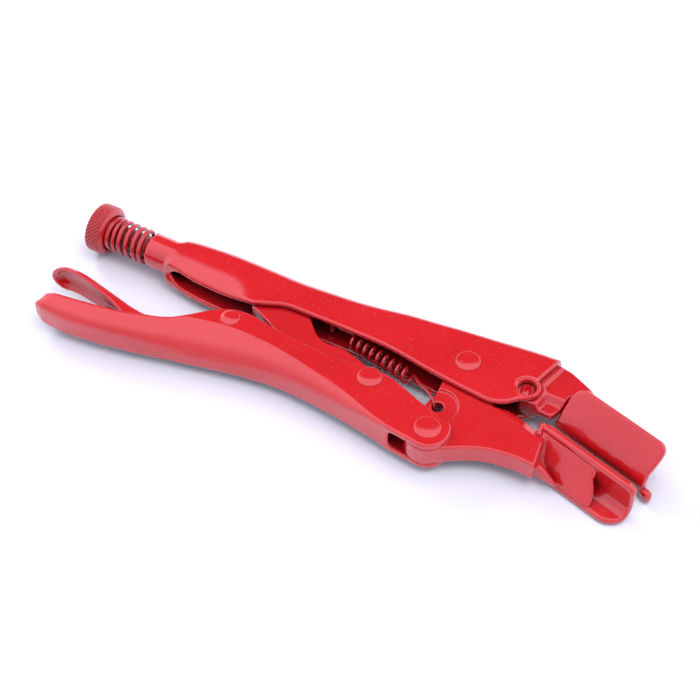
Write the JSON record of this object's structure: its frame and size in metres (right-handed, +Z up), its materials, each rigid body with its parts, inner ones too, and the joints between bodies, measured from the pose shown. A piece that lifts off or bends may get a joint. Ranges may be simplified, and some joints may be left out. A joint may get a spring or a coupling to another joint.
{
  "type": "locking pliers",
  "caption": "Over-centre locking pliers with wide bent plate jaws, knurled adjusting screw, toggle link and release lever, lying on their side.",
  "frame": {"origin": "centre of the bounding box in plan, on the surface the pliers lie on", "axes": "+X along the adjusting screw from the knob to the jaws, +Y from the lower handle to the upper handle, +Z up, along the rivet axes"},
  "size_m": [0.2536, 0.077, 0.021],
  "materials": {
    "handle_enamel": "glossy red enamel over pressed steel",
    "jaw_enamel": "glossy red enamel over forged and welded steel",
    "rivet_enamel": "glossy red enamel over rivet heads",
    "screw_enamel": "red enamel over turned, knurled and coiled steel"
  },
  "bodies": {
    "frame": {"upper_handle": "handle_enamel", "spring_anchor_pin": "handle_enamel", "fixed_jaw": "jaw_enamel", "fixed_jaw_plate": "jaw_enamel", "plug_welds": "jaw_enamel", "fixed_plate_weld": "jaw_enamel", "plate_end_bead": "jaw_enamel", "jaw_pivot_rivet": "rivet_enamel", "knob_spring": "screw_enamel", "return_spring": "screw_enamel"},
    "jaw": {"moving_jaw": "jaw_enamel", "moving_jaw_plate": "jaw_enamel", "moving_plate_weld": "jaw_enamel"},
    "handle": {"lower_handle": "handle_enamel", "handle_pivot_rivet": "rivet_enamel", "link_pivot_rivet": "rivet_enamel", "lever_pivot_rivet": "rivet_enamel"},
    "link": {"toggle_link": "handle_enamel"},
    "lever": {"release_lever": "handle_enamel"},
    "seat": {"spring_seat_collar": "screw_enamel"},
    "screw": {"adjusting_screw": "screw_enamel"}
  },
  "joints": [
    {"name": "jaw_open", "type": "hinge", "parent": "frame", "child": "jaw", "pos_m": [0.04356, 0.01851, 0.0105], "axis": [0, 0, 1], "range_deg": [-13.05, 0], "deforming": ["return_spring"]},
    {"name": "handle_swing", "type": "hinge", "parent": "jaw", "child": "handle", "pos_m": [0.04476, -0.01729, 0.0105], "axis": [0, 0, 1], "range_deg": [0, 50]},
    {"name": "link_fold", "type": "hinge", "parent": "handle", "child": "link", "pos_m": [0.01456, -0.00689, 0.0105], "axis": [0, 0, 1], "range_deg": [-58.1, 0]},
    {"name": "lever_press", "type": "hinge", "parent": "handle", "child": "lever", "pos_m": [-0.04744, -0.00769, 0.0105], "axis": [0, 0, 1], "range_deg": [0, 6]},
    {"name": "seat_slide", "type": "slide", "parent": "frame", "child": "seat", "axis": [1, 0, 0], "range_m": [-0.0127, 0], "deforming": ["knob_spring"]},
    {"name": "screw_turn", "type": "hinge", "parent": "seat", "child": "screw", "pos_m": [-0.12344, 0.01331, 0.0105], "axis": [1, 0, 0], "range_deg": [-2882, 0]}
  ],
  "couplings": [
    {"joint": "jaw_open", "follows": "handle_swing", "ratio": -0.26},
    {"joint": "link_fold", "follows": "handle_swing", "ratio": -1.16},
    {"joint": "screw_turn", "follows": "seat_slide", "rad_per_m": 3957.9}
  ]
}
